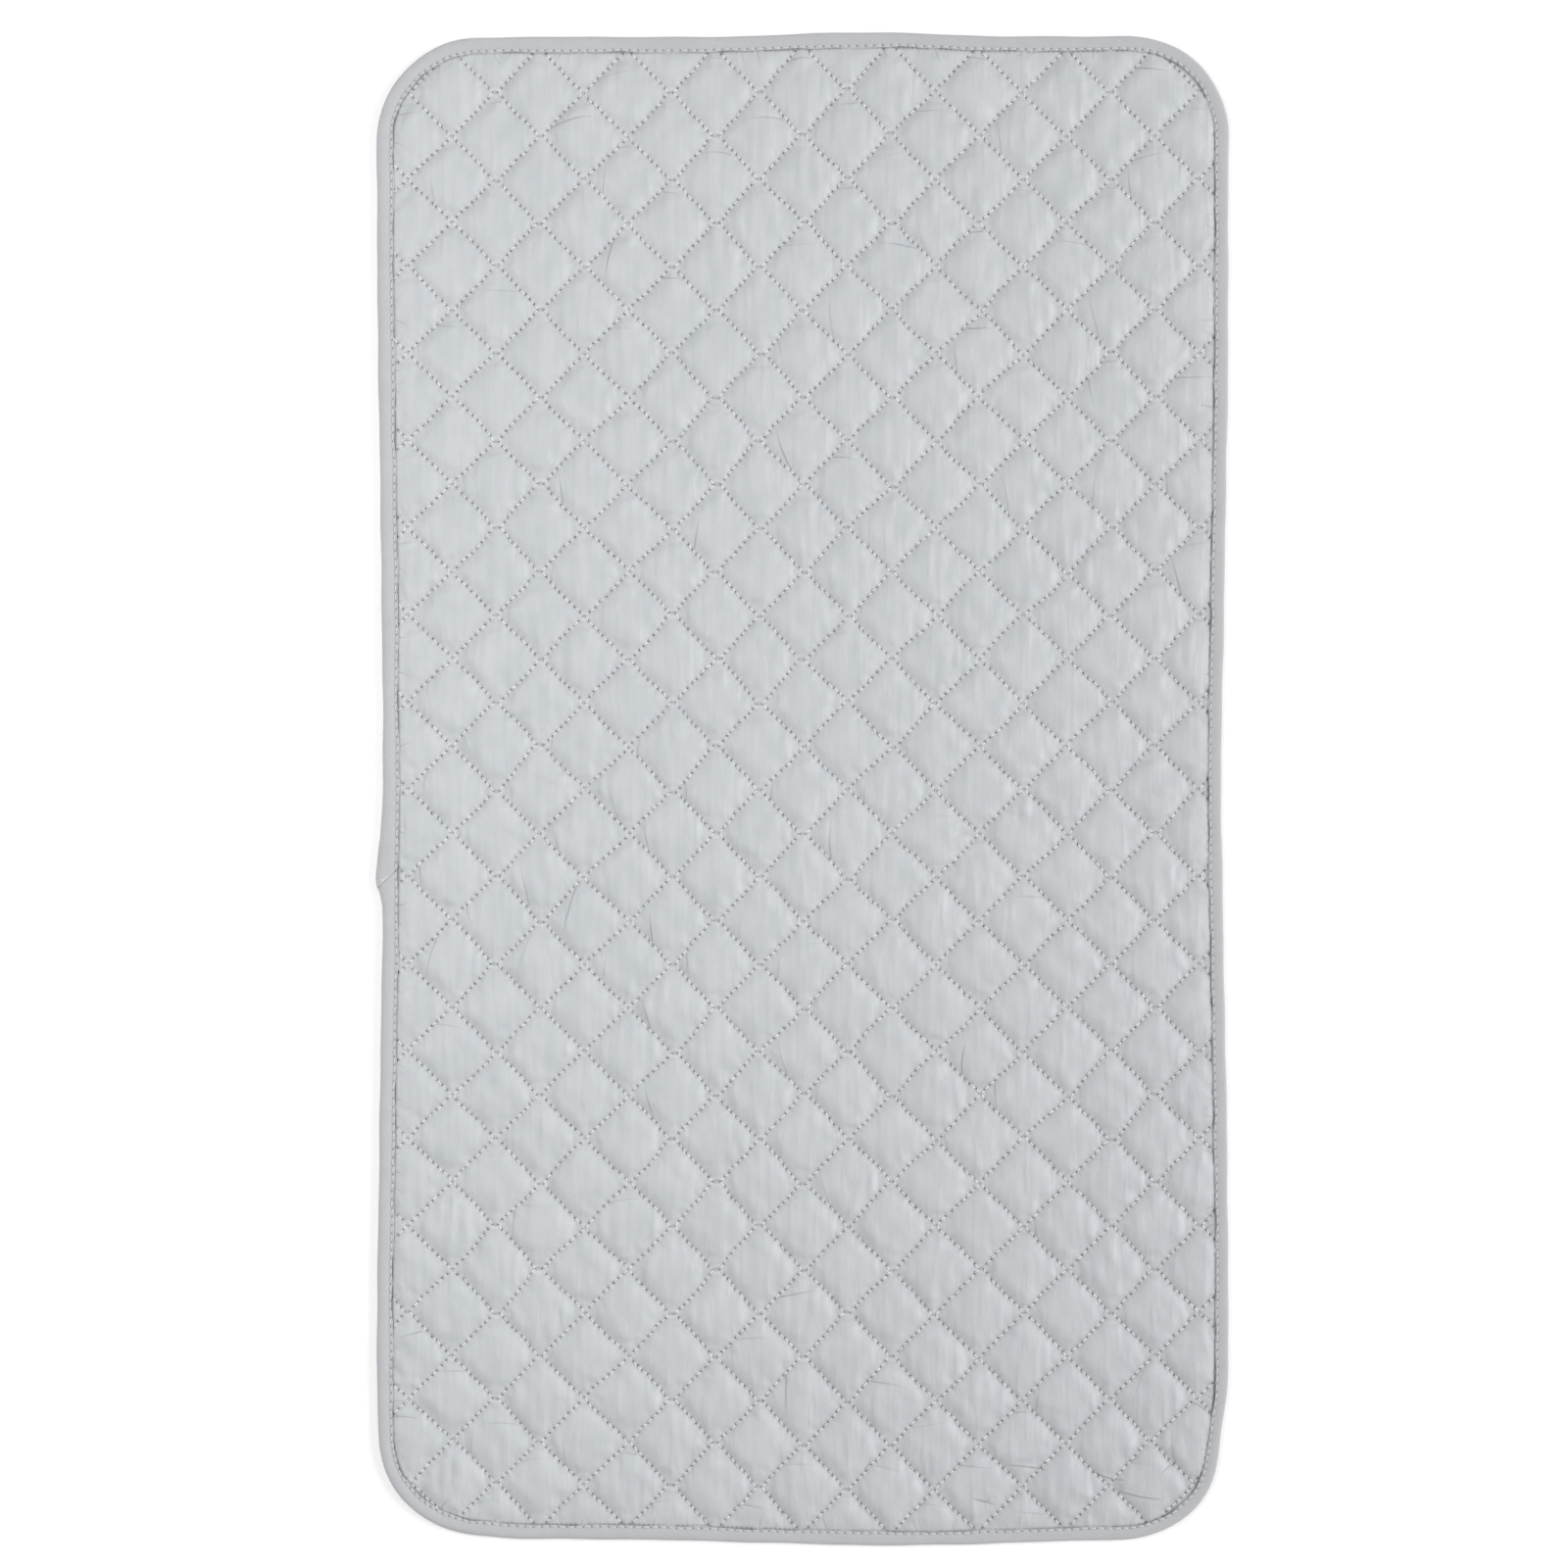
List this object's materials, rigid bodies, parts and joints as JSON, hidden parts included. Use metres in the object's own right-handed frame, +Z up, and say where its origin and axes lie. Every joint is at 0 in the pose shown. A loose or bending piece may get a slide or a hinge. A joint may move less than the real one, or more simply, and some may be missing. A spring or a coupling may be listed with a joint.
{
  "type": "ironing pad",
  "caption": "Quilted ironing pad: silver face cloth, wadding and backing sewn together in diamonds, with rounded corners and a tape-bound edge.",
  "frame": {"origin": "centre of the underside, on the surface that the pad lies on", "axes": "+X across the width, +Y along the length, +Z up out of the ironing face"},
  "size_m": [0.48, 0.85, 0.0047],
  "materials": {
    "silver_cloth": "satin",
    "wadding": "matte",
    "backing_cotton": "matte",
    "binding_tape": "satin",
    "sewing_thread": "satin"
  },
  "bodies": {
    "root": {"face_cloth": "silver_cloth", "wadding": "wadding", "backing_cloth": "backing_cotton", "edge_binding": "binding_tape", "binding_seam_thread": "sewing_thread", "binding_bobbin_thread": "sewing_thread", "quilt_thread_01": "sewing_thread", "quilt_thread_02": "sewing_thread", "quilt_thread_03": "sewing_thread", "quilt_thread_04": "sewing_thread", "quilt_thread_05": "sewing_thread", "quilt_thread_06": "sewing_thread", "quilt_thread_07": "sewing_thread", "quilt_thread_08": "sewing_thread", "quilt_thread_09": "sewing_thread", "quilt_thread_10": "sewing_thread", "quilt_thread_11": "sewing_thread", "quilt_thread_12": "sewing_thread", "quilt_thread_13": "sewing_thread", "quilt_thread_14": "sewing_thread", "quilt_thread_15": "sewing_thread", "quilt_thread_16": "sewing_thread", "quilt_thread_17": "sewing_thread", "quilt_thread_18": "sewing_thread", "bobbin_thread_01": "sewing_thread", "bobbin_thread_02": "sewing_thread", "bobbin_thread_03": "sewing_thread", "bobbin_thread_04": "sewing_thread", "bobbin_thread_05": "sewing_thread", "bobbin_thread_06": "sewing_thread", "bobbin_thread_07": "sewing_thread", "bobbin_thread_08": "sewing_thread", "bobbin_thread_09": "sewing_thread", "bobbin_thread_10": "sewing_thread", "bobbin_thread_11": "sewing_thread", "bobbin_thread_12": "sewing_thread", "bobbin_thread_13": "sewing_thread", "bobbin_thread_14": "sewing_thread", "bobbin_thread_15": "sewing_thread", "bobbin_thread_16": "sewing_thread", "bobbin_thread_17": "sewing_thread", "bobbin_thread_18": "sewing_thread"}
  },
  "joints": []
}
